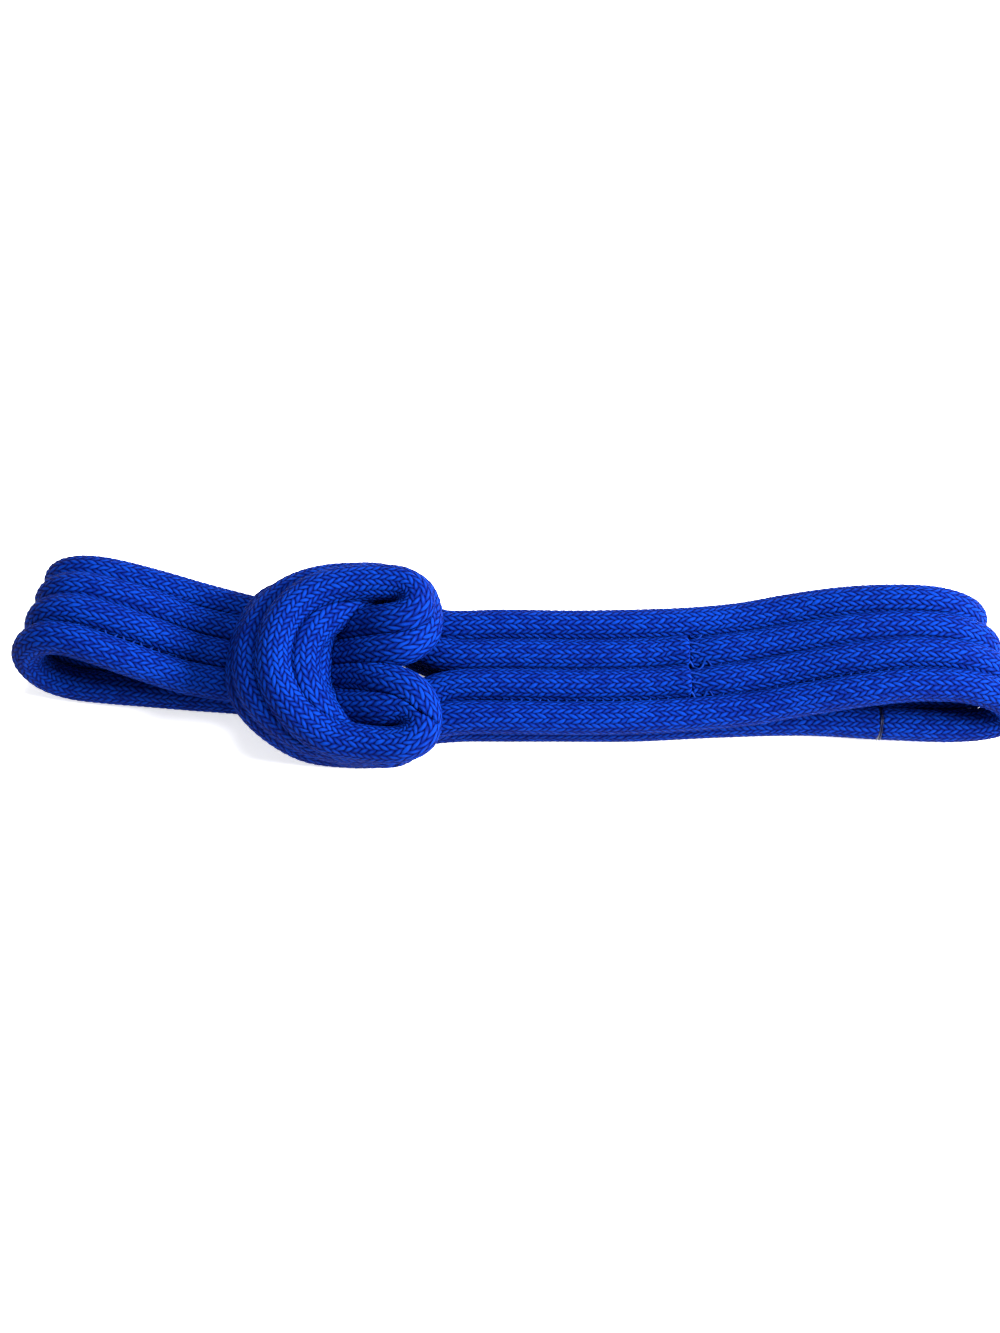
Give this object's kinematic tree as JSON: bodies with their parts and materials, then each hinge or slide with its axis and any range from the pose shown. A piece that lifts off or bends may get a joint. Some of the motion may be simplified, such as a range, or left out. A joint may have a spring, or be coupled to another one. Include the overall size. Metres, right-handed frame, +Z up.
{
  "type": "halter cord strap",
  "caption": "Doubled flat strap of round braided halter cords, two looped bands joined by a girth hitch, with an open eye at each end for buckles, rings or a lead.",
  "frame": {"origin": "middle of the box on the surface that the strap lies on", "axes": "+X along the strap towards the longer band, +Y across it to the far edge, +Z up"},
  "size_m": [0.189, 0.0416, 0.0239],
  "materials": {
    "cord_braid": "royal blue polyester braid, tight two-over-two herringbone, slight sheen",
    "core_yarn": "white parallel filament core yarns",
    "sewing_thread": "blue bonded sewing thread, a shade lighter than the cord",
    "fused_cord_end": "cord end fused by heat into a dark glossy skin"
  },
  "bodies": {
    "hitch": {"wrap_cord_1": "cord_braid", "wrap_cord_2": "cord_braid", "wrap_cord_3": "cord_braid", "wrap_cord_4": "cord_braid", "wrap_core_1": "core_yarn", "wrap_core_2": "core_yarn", "wrap_core_3": "core_yarn", "wrap_core_4": "core_yarn", "bight_cord_1": "cord_braid", "bight_cord_2": "cord_braid", "bight_cord_3": "cord_braid", "bight_cord_4": "cord_braid", "bight_core_1": "core_yarn", "bight_core_2": "core_yarn", "bight_core_3": "core_yarn", "bight_core_4": "core_yarn"},
    "left_loop": {"left_cord_1": "cord_braid", "left_cord_2": "cord_braid", "left_cord_3": "cord_braid", "left_cord_4": "cord_braid", "left_core_1": "core_yarn", "left_core_2": "core_yarn", "left_core_3": "core_yarn", "left_core_4": "core_yarn", "left_seam_1": "sewing_thread", "left_seam_2": "sewing_thread", "left_seam_3": "sewing_thread"},
    "right_loop": {"right_cord_1": "cord_braid", "right_cord_2": "cord_braid", "right_cord_3": "cord_braid", "right_cord_4": "cord_braid", "right_core_1": "core_yarn", "right_core_2": "core_yarn", "right_core_3": "core_yarn", "right_core_4": "core_yarn", "short_cord_2": "cord_braid", "short_cord_3": "cord_braid", "lower_cord_4": "cord_braid", "short_core_2": "core_yarn", "short_core_3": "core_yarn", "lower_core_4": "core_yarn", "right_seam_1": "sewing_thread", "right_seam_2": "sewing_thread", "right_seam_3": "sewing_thread", "middle_joint_ends": "fused_cord_end", "middle_joint_stitches": "sewing_thread", "lower_joint_ends": "fused_cord_end"}
  },
  "joints": [
    {"name": "left_bend", "type": "hinge", "parent": "hitch", "child": "left_loop", "pos_m": [-0.057, 0.0048, 0.0061], "axis": [0, 1, 0], "range_deg": [-40, 40]},
    {"name": "right_bend", "type": "hinge", "parent": "hitch", "child": "right_loop", "pos_m": [-0.007, -0.0002, 0.0061], "axis": [0, 1, 0], "range_deg": [-40, 40]}
  ]
}
